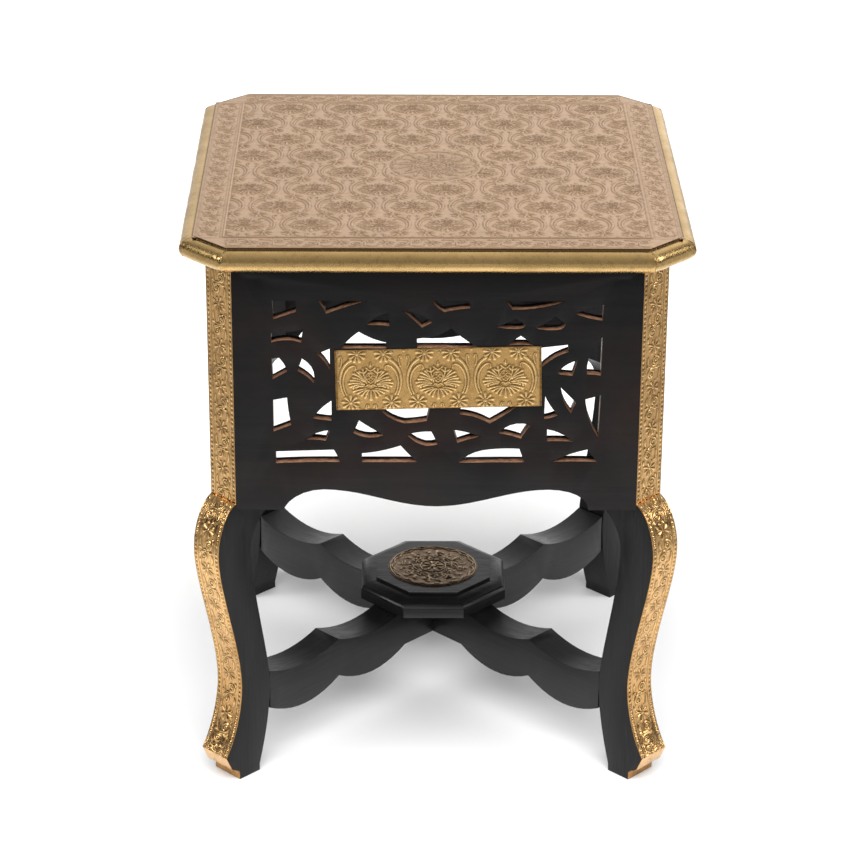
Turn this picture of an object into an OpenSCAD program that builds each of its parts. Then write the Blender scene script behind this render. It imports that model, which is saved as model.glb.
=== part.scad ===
// Octagonal side table: black wooden body with pierced aprons, S-curved plank legs
// and a crossed stretcher, its top, edges, corners and legs clad in embossed brass.
// Millimetres, +Z up, origin on the floor under the middle of the top.
// The front faces -Y. Sides are numbered 0 front, 1 right, 2 back, 3 left.

/* [Overall] */
// Height of the top above the floor
table_h = 450; // [440:5:470]
// Width of the flat top across its flats
top_w = 360; // [356:1:370]
// Length of each corner cut, measured along the side
corner_cut = 26; // [20:1:30]
// Thickness of the brass sheet on the top and plates
sheet_t = 0.8; // [0.5:0.1:1]
// Thickness of the brass on the corner posts and legs
strip_t = 0.6; // [0.4:0.1:0.8]

/* [Edge moulding] */
// How far the rounded edge stands out from the flat top
edge_out = 10; // [8:0.5:12]
// Radius of the rounded edge
edge_r = 8; // [6:0.5:9]
// Drop from the flat top to the ledge of the moulding
edge_drop = 2; // [1.5:0.5:3]
// Thickness of the wooden top board
board_t = 17.2; // [16.2:0.2:18.2]

/* [Body] */
// Width of the body across two opposite panel faces
body_w = 342; // [336:2:346]
// Thickness of the pierced panels
panel_t = 11; // [9:1:13]
// Height of the panels' lower edge above the floor
apron_z = 235; // [230:1:240]
// Height of the arches in the panels' lower edge
apron_rise = 17; // [12:1:20]
// Side of the square battens inside, under the top
cleat_w = 18; // [14:1:20]

/* [Legs] */
// Thickness of the leg planks, and width of their brass
leg_t = 28; // [26:1:30]
// Distance from the middle to the inner edge of the leg posts
post_in = 190; // [186:1:194]
// Distance from the middle to the face of the post brass
post_out = 227.7; // [227.5:0.1:228]

/* [Stretcher] */
// Thickness of the stretcher boards
arm_t = 27; // [20:1:28]
// Height of the stretcher's upper cusps
arm_top = 83.5; // [81:0.5:85]
// Height of the stretcher's lower cusps
arm_low = 50.5; // [49:0.5:52]
// Depth of the scoops in the upper edge
scoop = 7.5; // [5:0.5:9]
// Drop of the lobes on the lower edge
lobe = 10.5; // [8:0.5:12]

/* [Plinth] */
// Width of the plinth's base across its flats
plinth_w = 118; // [112:1:124]
// Width of the plinth's top across its flats
plinth_top_w = 93; // [88:1:98]
// Height of the plinth
plinth_h = 17; // [16:1:20]
// Diameter of the brass medallion
medal_d = 74; // [66:1:80]

/* [Plates] */
// Width of the embossed plates on the panels
plate_w = 153; // [150:1:156]
// Height of the embossed plates
plate_h = 48.3; // [47:0.1:50]
// Height of the plates' middle above the floor
plate_z = 343.6; // [342:0.2:345]
// Tilt of the plate on each side, in degrees, as nailed on by hand
plate_tilt = [1.4, 0.5, -0.6, -0.4]; // [-2:0.1:2]
// Radius of the tack heads
tack_r = 1.25; // [1:0.05:1.5]

/* [Hidden] */

$fn = 48;
eps = 0.01;
mitre = tan(22.5);

BLACK = [0.13, 0.12, 0.12];
RAW_WOOD = [0.42, 0.26, 0.17];
TOP_BRASS = [0.72, 0.57, 0.40];
EDGE_BRASS = [0.74, 0.60, 0.32];
STRIP_BRASS = [0.78, 0.61, 0.33];
DARK_BRASS = [0.45, 0.34, 0.23];
STEEL = [0.6, 0.6, 0.62];

half_top = top_w / 2;
side_half = half_top - corner_cut;            // half of a long side of the flat top
cut_half = corner_cut * sqrt(2) / 2;          // half of a cut corner's side
cut_dist = (half_top + side_half) / sqrt(2);  // middle to a cut corner's side
board_top = table_h - sheet_t;
board_low = board_top - board_t;              // underside of the top board
edge_z = table_h - edge_drop - edge_r;        // height of the moulding's widest line
face = body_w / 2;                            // middle to a panel's face
panel_half = face - leg_t / sqrt(2);          // half width of a panel's face
panel_in = face - panel_t;
tack_h = 0.5;
shank_r = 0.45;
tack_l = 8;

// A cubic curve from a to d with handles b and c, in n steps; its end is left to the
// next curve unless last is 1.
function curve(a, b, c, d, n, last = 0) = [for (i = [0 : n - 1 + last])
    let (t = i / n, s = 1 - t)
    s * s * s * a + 3 * s * s * t * b + 3 * s * t * t * c + t * t * t * d];

// An outline of corners [x, z, bulge]: the edge after each corner bows out by bulge.
function bowed(corners, n = 5) = [for (k = [0 : len(corners) - 1])
    let (p = corners[k], q = corners[(k + 1) % len(corners)],
        a = [p[0], p[1]], b = [q[0], q[1]], d = b - a,
        m = (a + b) / 2 + 2 * p[2] * [-d[1], d[0]] / norm(d),
        steps = p[2] == 0 ? 1 : n)
    for (i = [0 : steps - 1]) let (t = i / steps, s = 1 - t)
    s * s * a + 2 * s * t * m + t * t * b];

// Places a front piece on side i.
module side(i) {
    rotate([0, 0, 90 * i]) children();
}

// Places a piece drawn along +X on corner i: 0 front right, then counter-clockwise.
module corner(i) {
    rotate([0, 0, -45 + 90 * i]) children();
}

// A plank of thickness t standing on the XZ plane, from an outline in x and z.
module plank(outline, t) {
    rotate([90, 0, 0]) linear_extrude(t, center = true) polygon(outline);
}

// A round rod along -Z from z = 0, under a wider head of height hh.
module nail(r, l, head_r, hh) {
    translate([0, 0, -l]) cylinder(r = r, h = l + eps);
    cylinder(r = head_r, h = hh);
}

// ---- Top -------------------------------------------------------------------

module cut_square(w, cut, h) {
    d = w / 2;
    c = d - cut;
    linear_extrude(h) polygon([[-c, -d], [c, -d], [d, -c], [d, c],
        [c, d], [-c, d], [-d, c], [-d, -c]]);
}

// The moulding's section, in distance out from the flat top and height.
module edge_section(inset) {
    reach = edge_out - edge_r;
    translate([reach, edge_z]) circle(r = edge_r - inset);
    translate([0, edge_z - edge_r + inset]) square([reach, 2 * (edge_r - inset)]);
}

// One mitred length of moulding along a side of the given half length.
module edge_length(half, dist, inset) {
    intersection() {
        translate([0, -dist, 0]) rotate([90, 0, -90])
            linear_extrude(2 * half + 40, center = true) edge_section(inset);
        linear_extrude(table_h + 1) polygon([[-half, -dist], [half, -dist],
            [half + edge_out * mitre * 2, -dist - edge_out * 2],
            [-half - edge_out * mitre * 2, -dist - edge_out * 2]]);
    }
}

module edge_side(i, inset) {
    side(i) edge_length(side_half, half_top, inset);
}

module edge_cut(i, inset) {
    side(i) rotate([0, 0, 45]) edge_length(cut_half, cut_dist, inset);
}

module top_board() {
    color(BLACK) difference() {
        union() {
            translate([0, 0, board_low]) cut_square(top_w, corner_cut, board_t);
            for (i = [0 : 3]) {
                edge_side(i, sheet_t);
                edge_cut(i, sheet_t);
            }
        }
        cleat_screw_set();
        leg_screw_set();
    }
}

module top_sheet() {
    color(TOP_BRASS) translate([0, 0, board_top]) cut_square(top_w, corner_cut, sheet_t);
}

module edge_clad(i) {
    color(EDGE_BRASS) difference() {
        edge_side(i, 0);
        edge_side(i, sheet_t);
    }
}

module edge_corner_clad(i) {
    color(EDGE_BRASS) difference() {
        edge_cut(i, 0);
        edge_cut(i, sheet_t);
    }
}

// ---- Pierced panels --------------------------------------------------------

// Half of the lower edge: a dip in the middle, an arch, then a quick step down.
// The sawn arches are not quite alike: the left one ends a little thinner.
apron_mid = 3;       // height of the dip above the panel's lower corners
arch_x = 85;
step_x = 115;
function half_apron(fullness) = concat(
    [for (x = [0 : 8.5 : arch_x]) [x, apron_z + (apron_rise + apron_mid) / 2
        - (apron_rise - apron_mid) / 2 * cos(180 * x / arch_x)]],
    [for (a = [15 : 15 : 90]) [arch_x + (step_x - arch_x) * sin(a),
        apron_z + apron_rise * pow(cos(a), fullness)]]);
right_apron = half_apron(0.9);
left_apron = half_apron(1.35);
apron_edge = concat(right_apron,
    [[panel_half, apron_z], [panel_half, board_low], [-panel_half, board_low],
        [-panel_half, apron_z]],
    [for (k = [len(left_apron) - 1 : -1 : 1]) [-left_apron[k][0], left_apron[k][1]]]);

// Fretwork: each opening's corners going clockwise, as [x, z, bulge].
FRET = [
    // left third, from the top down
    [[-121.5, 405, 0], [-104, 405, 0], [-104, 396, 0], [-121, 390, 0]],
    [[-88, 405, 0], [-51, 405, -0.5], [-82, 394.5, -0.5]],
    [[-122.5, 379, -0.8], [-99, 382.5, 0], [-100.5, 371.5, -2], [-122.5, 371.5, 0]],
    [[-122.5, 359.5, 0], [-117, 359.5, 0.8], [-111, 348.5, 0], [-122, 342, 0]],
    [[-100, 359, 3.8], [-91.5, 339, -0.8], [-103.5, 349, 0]],
    [[-79.5, 367, 0], [-79.5, 349.5, -0.8], [-89.5, 363, -0.3]],
    [[-122, 325.5, 0], [-111.5, 327.5, -0.5], [-108.5, 305, 0], [-122, 299.5, 0]],
    [[-78.5, 325, 0], [-78.5, 308.5, 0.3], [-92.5, 310.5, 1.2]],
    [[-79.5, 301, 0], [-83, 292, -0.5], [-98.5, 293, 1.8]],
    [[-120.5, 283.5, 0], [-77, 285, 0.4], [-72.5, 274.5, -0.4], [-120.5, 273.5, 0]],
    // middle, above and below the plate
    [[-35.5, 396, 0], [-35.5, 385, -0.3], [-52.5, 385.5, 1.8]],
    [[-26, 397.5, 2.2], [-3.5, 388, 0], [-11.5, 383.5, -0.4]],
    [[-4.5, 405, 0], [24, 405, 0], [24, 399, -0.5], [5, 396, 0.8]],
    [[-58, 380.5, -1], [-38, 372, 0], [-37.5, 367, 0], [-71.5, 367, 0.8]],
    [[-15, 375, 0], [0, 377.5, -0.3], [10, 383.5, -0.8], [31, 367.5, 0], [-15, 367.5, 0]],
    [[-44, 320, 0], [-5, 320, 0], [-7.5, 308.5, 0.4], [-24, 306.5, 2.5]],
    [[-58, 309, -0.4], [-39, 297, 3], [-62.5, 298.5, 0]],
    [[-22.5, 297.5, 0.8], [-4, 300, 0], [1, 289.5, 0.5], [-8, 288, 1.5]],
    [[12.5, 301.5, 0.6], [33.5, 296, -0.4], [15.5, 290.5, 0]],
    [[16.5, 314, 0], [18.5, 322, 0], [62, 322, 0.5], [39.5, 306.5, -1.5]],
    [[-56, 274.5, 0], [-56, 282, -1], [-27, 288.5, -0.3], [-14, 274.5, 0]],
    [[15.5, 274, 2.5], [39.5, 285.5, 0.5], [62, 286, 0], [66, 274.5, -0.2]],
    // right third, from the top down
    [[50, 405, 0], [94, 405, 2], [55, 398, 0]],
    [[122, 402.5, 0], [121.5, 389.5, 0.8], [101.5, 395, 1.2]],
    [[57.5, 391, 0.3], [65, 386.5, 0.8], [61, 383, 0.8], [43, 384.5, -0.3]],
    [[87, 393, 0.3], [94.5, 386.5, 0.5], [91, 382.5, 1.2], [72, 383.5, -0.5]],
    [[61.5, 377.5, 0.3], [71.5, 369.5, -0.8], [51.5, 369.5, 0.3]],
    [[122, 377, 0], [121.5, 345.5, -0.3], [111, 346.5, 3.6]],
    [[76, 368, 0], [96.5, 370.5, 0], [97, 364.5, -1.8], [76, 350.5, 0]],
    [[104, 358, 0], [100.5, 345.5, 0.3], [89, 347, 2]],
    [[92, 336, 0], [103.5, 324, 0], [100, 315, 1.8]],
    [[80.5, 329, -0.8], [90.5, 313.5, 0.4], [80, 310, 0]],
    [[110.5, 326.5, 0], [122, 330, 0], [121, 295, 2.2]],
    [[45.5, 298.5, 4.2], [70.5, 305.5, -0.5], [63, 294, -0.6]],
    [[82.5, 302, 1.8], [102.5, 291.5, -0.4], [82.5, 292, 0]],
    [[85.5, 275, 1], [113, 285.5, 0], [120.5, 275, -0.4]]];

module panel(i) {
    color(BLACK) difference() {
        side(i) intersection() {
            translate([0, -face + panel_t / 2, 0]) rotate([90, 0, 0])
                linear_extrude(panel_t, center = true) difference() {
                    polygon(apron_edge);
                    for (hole = FRET) polygon(bowed(hole));
                }
            linear_extrude(table_h) polygon([[-panel_half, -face], [panel_half, -face],
                [panel_half - panel_t, -panel_in], [-panel_half + panel_t, -panel_in]]);
        }
        side(i) panel_nail_row();
        plate_tack_set(i);
    }
}

// ---- Plates and their tacks ------------------------------------------------

tack_margin = 2.4;
tack_u = plate_w / 2 - tack_margin;
tack_v = plate_h / 2 - tack_margin;
tack_spots = concat(
    [for (u = [-tack_u, -34, 1, 36, tack_u]) [u, tack_v]],
    [for (u = [-tack_u, -40, -5, 35, tack_u]) [u, -tack_v]],
    [[-tack_u, 0], [tack_u, 0]]);

// Puts its children on the plate of side i: x along it, z up it, y into the panel.
module on_plate(i) {
    side(i) translate([1, -face, plate_z]) rotate([0, -plate_tilt[i], 0]) children();
}

module plate_tack_set(i) {
    on_plate(i) for (s = tack_spots) translate([s[0], -sheet_t, s[1]])
        rotate([90, 0, 0]) nail(shank_r, tack_l, tack_r, tack_h);
}

module plate(i) {
    color(STRIP_BRASS) difference() {
        on_plate(i) translate([-plate_w / 2, -sheet_t, -plate_h / 2])
            cube([plate_w, sheet_t, plate_h]);
        plate_tack_set(i);
    }
}

module plate_tacks(i) {
    color(STRIP_BRASS) plate_tack_set(i);
}

// ---- Legs ------------------------------------------------------------------

foot_out = 230;
foot_in = 209;
knee_top = [post_out, 240];
knee = [247, 200];
ankle = [226.3, 82];
toe = [244, 24];
toe_under = [238.6, 11.9];
foot_top = 5.8;
foot_gap = 0.4;      // height of the brass above the floor
skin = [strip_t, strip_t];

// The outer face of the leg's brass, from the post down to the tip of the toe.
brass_curve = concat(
    curve(knee_top, [238, 236], [247, 218], knee, 10),
    curve(knee, [247, 170], [226.5, 118], ankle, 16),
    curve(ankle, [226.3, 62], [234, 38], toe, 10, 1));
wood_curve = [for (p = brass_curve) p - skin];
calf = [196.5, 78];
hip = [214, 196];
inner_curve = concat([[foot_in, 0]],
    curve([foot_in, foot_top], [204, 22], [196, 50], calf, 10),
    curve(calf, [199, 110], hip - [0, 31], hip, 14),
    curve(hip, hip + [0, 16], [202, 224], [post_in, 230], 10, 1));
wood_toe = toe - skin;
wood_under = toe_under - [0.6, -0.7];
leg_outline = concat([[post_in, board_low], [post_out - strip_t, board_low]], wood_curve,
    [wood_under, [foot_out, foot_top + 0.8], [foot_out, 0]], inner_curve);

tenon_l = 12;
tenon_t = 10;
tenon_low = 54;
tenon_h = 22;
leg_in = 196;        // where the stretcher meets the leg

module tenon() {
    translate([leg_in, -tenon_t / 2, tenon_low]) cube([tenon_l, tenon_t, tenon_h]);
}

module leg(i) {
    color(BLACK) difference() {
        corner(i) difference() {
            plank(leg_outline, leg_t);
            tenon();
            strip_tack_set();
        }
        leg_screw_set();
        panel_nail_set();
    }
}

module post_strip(i) {
    color(STRIP_BRASS) corner(i) difference() {
        translate([post_out - strip_t, -leg_t / 2, knee_top[1]])
            cube([strip_t, leg_t, board_low - knee_top[1]]);
        strip_tack_set();
    }
}

module leg_strip(i) {
    color(STRIP_BRASS) corner(i) difference() {
        plank(concat(brass_curve, [for (k = [len(wood_curve) - 1 : -1 : 0]) wood_curve[k]]),
            leg_t);
        strip_tack_set();
    }
}

// The end of the leg brass, folded back under the toe and down the foot block.
module toe_cap(i) {
    color(STRIP_BRASS) corner(i) plank([toe, toe_under, [foot_out + strip_t, foot_top + 0.4],
        [foot_out + strip_t, foot_gap], [foot_out, foot_gap], [foot_out, foot_top + 0.8],
        wood_under, wood_toe], leg_t);
}

// Tacks near both edges: up the post, then down the leg at points of its curve.
post_tack_z = [256, 300, 343, 386, 424];
leg_tack_at = [2, 9, 17, 23, 29, 34];

module strip_tack_set() {
    for (s = [-1, 1]) {
        for (z = post_tack_z) translate([post_out, s * (leg_t / 2 - 2.4), z])
            rotate([0, 90, 0]) nail(shank_r, tack_l, tack_r, tack_h);
        for (k = leg_tack_at) {
            p = brass_curve[k];
            d = brass_curve[k + 1] - brass_curve[k - 1];
            translate([p[0], s * (leg_t / 2 - 2.4), p[1]])
                rotate([0, 90 - atan2(d[0], -d[1]), 0])
                    nail(shank_r, tack_l, tack_r, tack_h);
        }
    }
}

module strip_tacks(i) {
    color(STRIP_BRASS) corner(i) strip_tack_set();
}

// ---- Crossed stretcher -----------------------------------------------------

pitch = 75;          // from one cusp to the next
cusp = 46;           // first cusp, just under the plinth's edge

// Points of an arc of the given sag between two cusps at x and x + w, left to right.
function sagged(x, w, z, sag, n = 10) = [for (i = [0 : n - 1])
    let (t = 2 * i / n - 1) [x + w * i / n, z + sag * (1 - t * t)]];

half_upper = concat(sagged(cusp, pitch, arm_top, -scoop),
    sagged(cusp + pitch, pitch, arm_top, -scoop), [[cusp + 2 * pitch, arm_top]]);
half_lower = concat(sagged(cusp, pitch, arm_low, -lobe),
    sagged(cusp + pitch, pitch, arm_low, -lobe), [[cusp + 2 * pitch, arm_low]]);

module arm_outline() {
    difference() {
        polygon(concat(half_upper,
            [for (k = [len(half_lower) - 1 : -1 : 0]) half_lower[k]],
            [for (p = half_lower) [-p[0], p[1]]],
            [for (k = [len(half_upper) - 1 : -1 : 0]) [-half_upper[k][0], half_upper[k][1]]]));
        polygon(leg_outline);
        mirror([1, 0]) polygon(leg_outline);
    }
}

// One board with a tenon at each end, and a half-lap notch from z1 to z2.
module stretcher(i, z1, z2) {
    color(BLACK) difference() {
        corner(i) {
            rotate([90, 0, 0]) linear_extrude(arm_t, center = true) arm_outline();
            for (s = [0, 180]) rotate([0, 0, s]) tenon();
        }
        corner(i) translate([-arm_t / 2, -leg_t, z1]) cube([arm_t, 2 * leg_t, z2 - z1]);
        plinth_screw_set();
    }
}

lap_z = (arm_top + arm_low) / 2;

module stretcher_under() {
    stretcher(0, lap_z, arm_top + 1);
}

module stretcher_over() {
    stretcher(1, arm_low - 1, lap_z);
}

// ---- Plinth ----------------------------------------------------------------

function octagon(w) = [for (k = [0 : 7])
    let (a = 22.5 + 45 * k) w / 2 / cos(22.5) * [cos(a), sin(a)]];

fillet_h = 8;        // upright edge of the plinth's base
rim_h = 2;           // upright rim around the plinth's top
plinth_z = arm_top + plinth_h;

// What is cut from each of the eight sides, as distance out and height: the upright rim
// around the top, then a rounded moulding swelling out nearly to the base's full width.
swell_in = plinth_top_w / 2 + 1;
swell_out = plinth_w / 2 - swell_in - 0.3;
swell_low = arm_top + fillet_h;
swell_h = plinth_h - fillet_h - rim_h;
plinth_cut = concat([for (a = [0 : 11.25 : 90])
        [swell_in + swell_out * sin(a), swell_low + swell_h * cos(a)]],
    [[plinth_w, swell_low], [plinth_w, plinth_z + 1],
        [plinth_top_w / 2, plinth_z + 1], [plinth_top_w / 2, plinth_z - rim_h]]);

module plinth() {
    color(BLACK) difference() {
        translate([0, 0, arm_top]) linear_extrude(plinth_h) polygon(octagon(plinth_w));
        for (k = [0 : 7]) rotate([0, 0, 45 * k]) plank(plinth_cut, plinth_w);
        plinth_screw_set();
    }
}

module plinth_medallion() {
    color(DARK_BRASS) translate([0, 0, plinth_z]) cylinder(d = medal_d, h = sheet_t, $fn = 96);
}

// Screws driven up through the stretchers into the plinth.
plinth_screw_at = 28;

module plinth_screw_set() {
    for (x = [-plinth_screw_at, 0, plinth_screw_at]) corner(0)
        translate([x, 0, arm_low + 3]) rotate([180, 0, 0])
            nail(2, arm_top - arm_low + 7, 3.6, 3);
}

module plinth_screws() {
    color(STEEL) plinth_screw_set();
}

// ---- Inside, under the top -------------------------------------------------

cleat_half = 120;
cleat_screw_x = 80;
cleat_screw_l = 24;

module cleat_screw_set() {
    for (i = [0 : 3]) side(i) for (x = [-cleat_screw_x, cleat_screw_x])
        translate([x, -panel_in + cleat_w / 2, board_low - cleat_w + 3]) rotate([180, 0, 0])
            nail(1.8, cleat_screw_l, 3.5, 3);
}

module cleat(i) {
    color(RAW_WOOD) difference() {
        side(i) translate([-cleat_half, -panel_in, board_low - cleat_w])
            cube([2 * cleat_half, cleat_w, cleat_w]);
        cleat_screw_set();
    }
}

module cleat_screws() {
    color(STEEL) cleat_screw_set();
}

// Screws through the top board down into the leg planks.
module leg_screw_set() {
    for (i = [0 : 3]) corner(i) translate([208, 0, board_top - 3]) nail(2, 40, 3.8, 3);
}

module leg_screws() {
    color(STEEL) leg_screw_set();
}

// Nails through each panel's upper corners into the leg planks.
module panel_nail_row() {
    for (s = [-1, 1]) for (x = [131, 141])
        translate([s * x, -face + 1, board_low - 10]) rotate([90, 0, 0])
            nail(0.8, 22, 1.3, 1);
}

module panel_nail_set() {
    for (i = [0 : 3]) side(i) panel_nail_row();
}

module panel_nails() {
    color(STEEL) panel_nail_set();
}

// ---- Nodes -----------------------------------------------------------------

top_board();
top_sheet();
edge_clad(0);  // edge_front
edge_clad(1);  // edge_right
edge_clad(2);  // edge_back
edge_clad(3);  // edge_left
edge_corner_clad(0);  // edge_corner_fr
edge_corner_clad(1);  // edge_corner_br
edge_corner_clad(2);  // edge_corner_bl
edge_corner_clad(3);  // edge_corner_fl
panel(0);  // panel_front
panel(1);  // panel_right
panel(2);  // panel_back
panel(3);  // panel_left
plate(0);  // plate_front
plate(1);  // plate_right
plate(2);  // plate_back
plate(3);  // plate_left
plate_tacks(0);  // plate_tacks_front
plate_tacks(1);  // plate_tacks_right
plate_tacks(2);  // plate_tacks_back
plate_tacks(3);  // plate_tacks_left
leg(0);  // leg_fr
leg(1);  // leg_br
leg(2);  // leg_bl
leg(3);  // leg_fl
post_strip(0);  // post_strip_fr
post_strip(1);  // post_strip_br
post_strip(2);  // post_strip_bl
post_strip(3);  // post_strip_fl
leg_strip(0);  // leg_strip_fr
leg_strip(1);  // leg_strip_br
leg_strip(2);  // leg_strip_bl
leg_strip(3);  // leg_strip_fl
toe_cap(0);  // toe_cap_fr
toe_cap(1);  // toe_cap_br
toe_cap(2);  // toe_cap_bl
toe_cap(3);  // toe_cap_fl
strip_tacks(0);  // strip_tacks_fr
strip_tacks(1);  // strip_tacks_br
strip_tacks(2);  // strip_tacks_bl
strip_tacks(3);  // strip_tacks_fl
stretcher_under();
stretcher_over();
plinth();
plinth_medallion();
plinth_screws();
cleat(0);  // cleat_front
cleat(1);  // cleat_right
cleat(2);  // cleat_back
cleat(3);  // cleat_left
cleat_screws();
leg_screws();
panel_nails();
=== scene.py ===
import math

import bmesh
import bpy
import numpy as np
from mathutils import Matrix, Vector


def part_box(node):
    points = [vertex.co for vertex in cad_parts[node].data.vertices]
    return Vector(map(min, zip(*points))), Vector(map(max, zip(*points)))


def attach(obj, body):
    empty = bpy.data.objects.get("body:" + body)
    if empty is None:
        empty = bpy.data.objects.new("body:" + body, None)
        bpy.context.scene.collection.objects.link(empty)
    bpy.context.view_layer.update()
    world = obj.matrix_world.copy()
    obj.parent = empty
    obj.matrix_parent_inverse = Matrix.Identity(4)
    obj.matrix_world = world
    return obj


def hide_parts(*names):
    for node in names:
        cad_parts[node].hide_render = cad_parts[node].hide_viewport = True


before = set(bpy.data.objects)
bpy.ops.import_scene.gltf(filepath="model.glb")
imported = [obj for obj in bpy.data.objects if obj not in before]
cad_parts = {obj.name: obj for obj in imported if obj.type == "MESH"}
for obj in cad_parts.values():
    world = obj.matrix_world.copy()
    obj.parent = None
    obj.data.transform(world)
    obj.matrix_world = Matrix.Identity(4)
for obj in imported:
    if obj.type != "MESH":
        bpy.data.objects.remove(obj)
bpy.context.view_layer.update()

# Lengths below are in millimetres in the object's own frame, and MM turns them into metres.
MM = 0.001
SIDES = ("front", "right", "back", "left")          # turned 0, 90, 180 and 270 degrees
CORNERS = ("fr", "br", "bl", "fl")                  # turned -45, 45, 135 and 225 degrees


def low_high(node):
    """A CAD node's box, in millimetres."""
    low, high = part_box(node)
    return np.array(low) / MM, np.array(high) / MM


TOP_Z = low_high("top_sheet")[1][2]
SHEET = TOP_Z - low_high("top_sheet")[0][2]
FLAT = low_high("top_sheet")[1][0]                  # middle to a side of the flat top
FACE = low_high("panel_front")[0][1] * -1           # middle to a panel's face
PANEL_HALF = low_high("panel_front")[1][0]
BOARD_LOW = low_high("top_board")[0][2]
LEG_T = (FACE - PANEL_HALF) * math.sqrt(2)
POST_LOW = low_high("post_strip_fr")[0][2]
POST_OUT = (FACE + PANEL_HALF) / math.sqrt(2)
CORNER_CUT = 26.0                                   # along each side of the flat top
EDGE_OUT = low_high("edge_front")[0][1] * -1 - FLAT


# ---- Node materials --------------------------------------------------------

class Finish:
    """A material being built from shader nodes. Each call adds a node and returns its output."""

    def __init__(self, name):
        self.material = bpy.data.materials.new(name)
        self.material.use_nodes = True
        self.tree = self.material.node_tree
        self.tree.nodes.clear()
        self.place = self.add("ShaderNodeTexCoord", "Object")

    def add(self, kind, output=0, settings=None, **inputs):
        node = self.tree.nodes.new(kind)
        for key, value in (settings or {}).items():
            setattr(node, key, value)
        for key, value in inputs.items():
            socket = node.inputs[int(key[1:])] if key[0] == "_" else node.inputs[key.replace("_", " ")]
            if isinstance(value, bpy.types.NodeSocket):
                self.tree.links.new(value, socket)
            else:
                socket.default_value = value
        return node.outputs[output]

    def math(self, operation, a, b=0.0, clamp=False):
        return self.add("ShaderNodeMath", settings={"operation": operation, "use_clamp": clamp},
                        _0=a, _1=b)

    def span(self, value, low, high, to_low=0.0, to_high=1.0):
        """value taken from low..high to to_low..to_high, and held there."""
        return self.add("ShaderNodeMapRange", _0=value, _1=low, _2=high, _3=to_low, _4=to_high)

    def mix(self, amount, a, b):
        """Colour a, going over to b as amount goes from 0 to 1."""
        node = self.tree.nodes.new("ShaderNodeMix")
        node.data_type = "RGBA"
        for socket, value in zip((node.inputs[0], node.inputs[6], node.inputs[7]), (amount, a, b)):
            if isinstance(value, bpy.types.NodeSocket):
                self.tree.links.new(value, socket)
            else:
                socket.default_value = value
        return node.outputs[2]

    def noise(self, scale, detail=4.0, stretch=None, rough=0.55, turn=0.0):
        """Noise about 1/scale metres across, drawn out stretch times along X, Y and Z, after
        those axes are turned about the vertical by turn degrees."""
        place = self.place
        if stretch:
            place = self.add("ShaderNodeMapping", settings={"vector_type": "TEXTURE"}, Vector=place,
                             Scale=stretch, Rotation=(0.0, 0.0, math.radians(turn)))
        return self.add("ShaderNodeTexNoise", Vector=place, Scale=scale, Detail=detail,
                        Roughness=rough)

    def attribute(self, name):
        return self.add("ShaderNodeAttribute", "Fac", settings={"attribute_name": name})

    def bump(self, height, distance, strength=1.0, normal=None):
        inputs = {"Height": height, "Distance": distance, "Strength": strength}
        if normal is not None:
            inputs["Normal"] = normal
        return self.add("ShaderNodeBump", **inputs)

    def finish(self, color, rough, metallic=0.0, normal=None, **more):
        inputs = {"Base_Color": color, "Roughness": rough, "Metallic": metallic, **more}
        if normal is not None:
            inputs["Normal"] = normal
        shader = self.add("ShaderNodeBsdfPrincipled", **inputs)
        out = self.tree.nodes.new("ShaderNodeOutputMaterial")
        self.tree.links.new(shader, out.inputs[0])
        return self.material


def rgb(r, g, b):
    return (r, g, b, 1.0)


def pressed_brass(name, bright, base, dark, rough, patina=1.0, grain=0.00004, cloudy=0.35,
                  shade_below=0.0):
    """Embossed sheet: rubbed on the raised lines, browned in the hollows beside them. Painted shade
    darkens it towards the floor from the height given in metres down, but not where the toe is rubbed."""
    f = Finish(name)
    relief = f.attribute("relief")
    hollow = f.attribute("hollow")
    cloud = f.noise(22.0, 5.0)
    fine = f.noise(420.0, 3.0)
    speck = f.noise(1500.0, 2.0)
    tone = f.mix(f.span(relief, 0.45, 0.95), rgb(*base), rgb(*bright))
    tone = f.mix(f.span(cloud, 0.42, 0.72, 0.0, cloudy), tone, rgb(*(0.72 * c for c in base)))
    mottle = f.noise(140.0, 4.0)
    tone = f.mix(f.span(mottle, 0.48, 0.7, 0.0, cloudy), tone, rgb(*dark))
    stain = f.math("MULTIPLY", f.span(hollow, 0.05, 0.6), f.span(fine, 0.3, 0.6, 0.6, 1.0))
    tone = f.mix(f.math("MULTIPLY", stain, patina, clamp=True), tone, rgb(*dark))
    # painted shade: the brass is darkened towards the floor, much less at the toe
    if shade_below:
        split = f.tree.nodes.new("ShaderNodeSeparateXYZ")
        f.tree.links.new(f.place, split.inputs[0])
        dull = f.math("MULTIPLY", f.span(split.outputs[2], 0.4 * shade_below, shade_below, 0.42, 0.0),
                      f.span(split.outputs[2], 0.03, 0.07, 0.1, 1.0))
        tone = f.mix(dull, tone, rgb(*dark))
    shine = f.math("ADD", f.span(stain, 0.0, 1.0, rough, rough + 0.2),
                   f.span(fine, 0.35, 0.65, -0.05, 0.07))
    normal = f.bump(speck, grain * 0.5)
    normal = f.bump(fine, grain, normal=normal)
    return f.finish(tone, shine, 1.0, normal)


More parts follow.
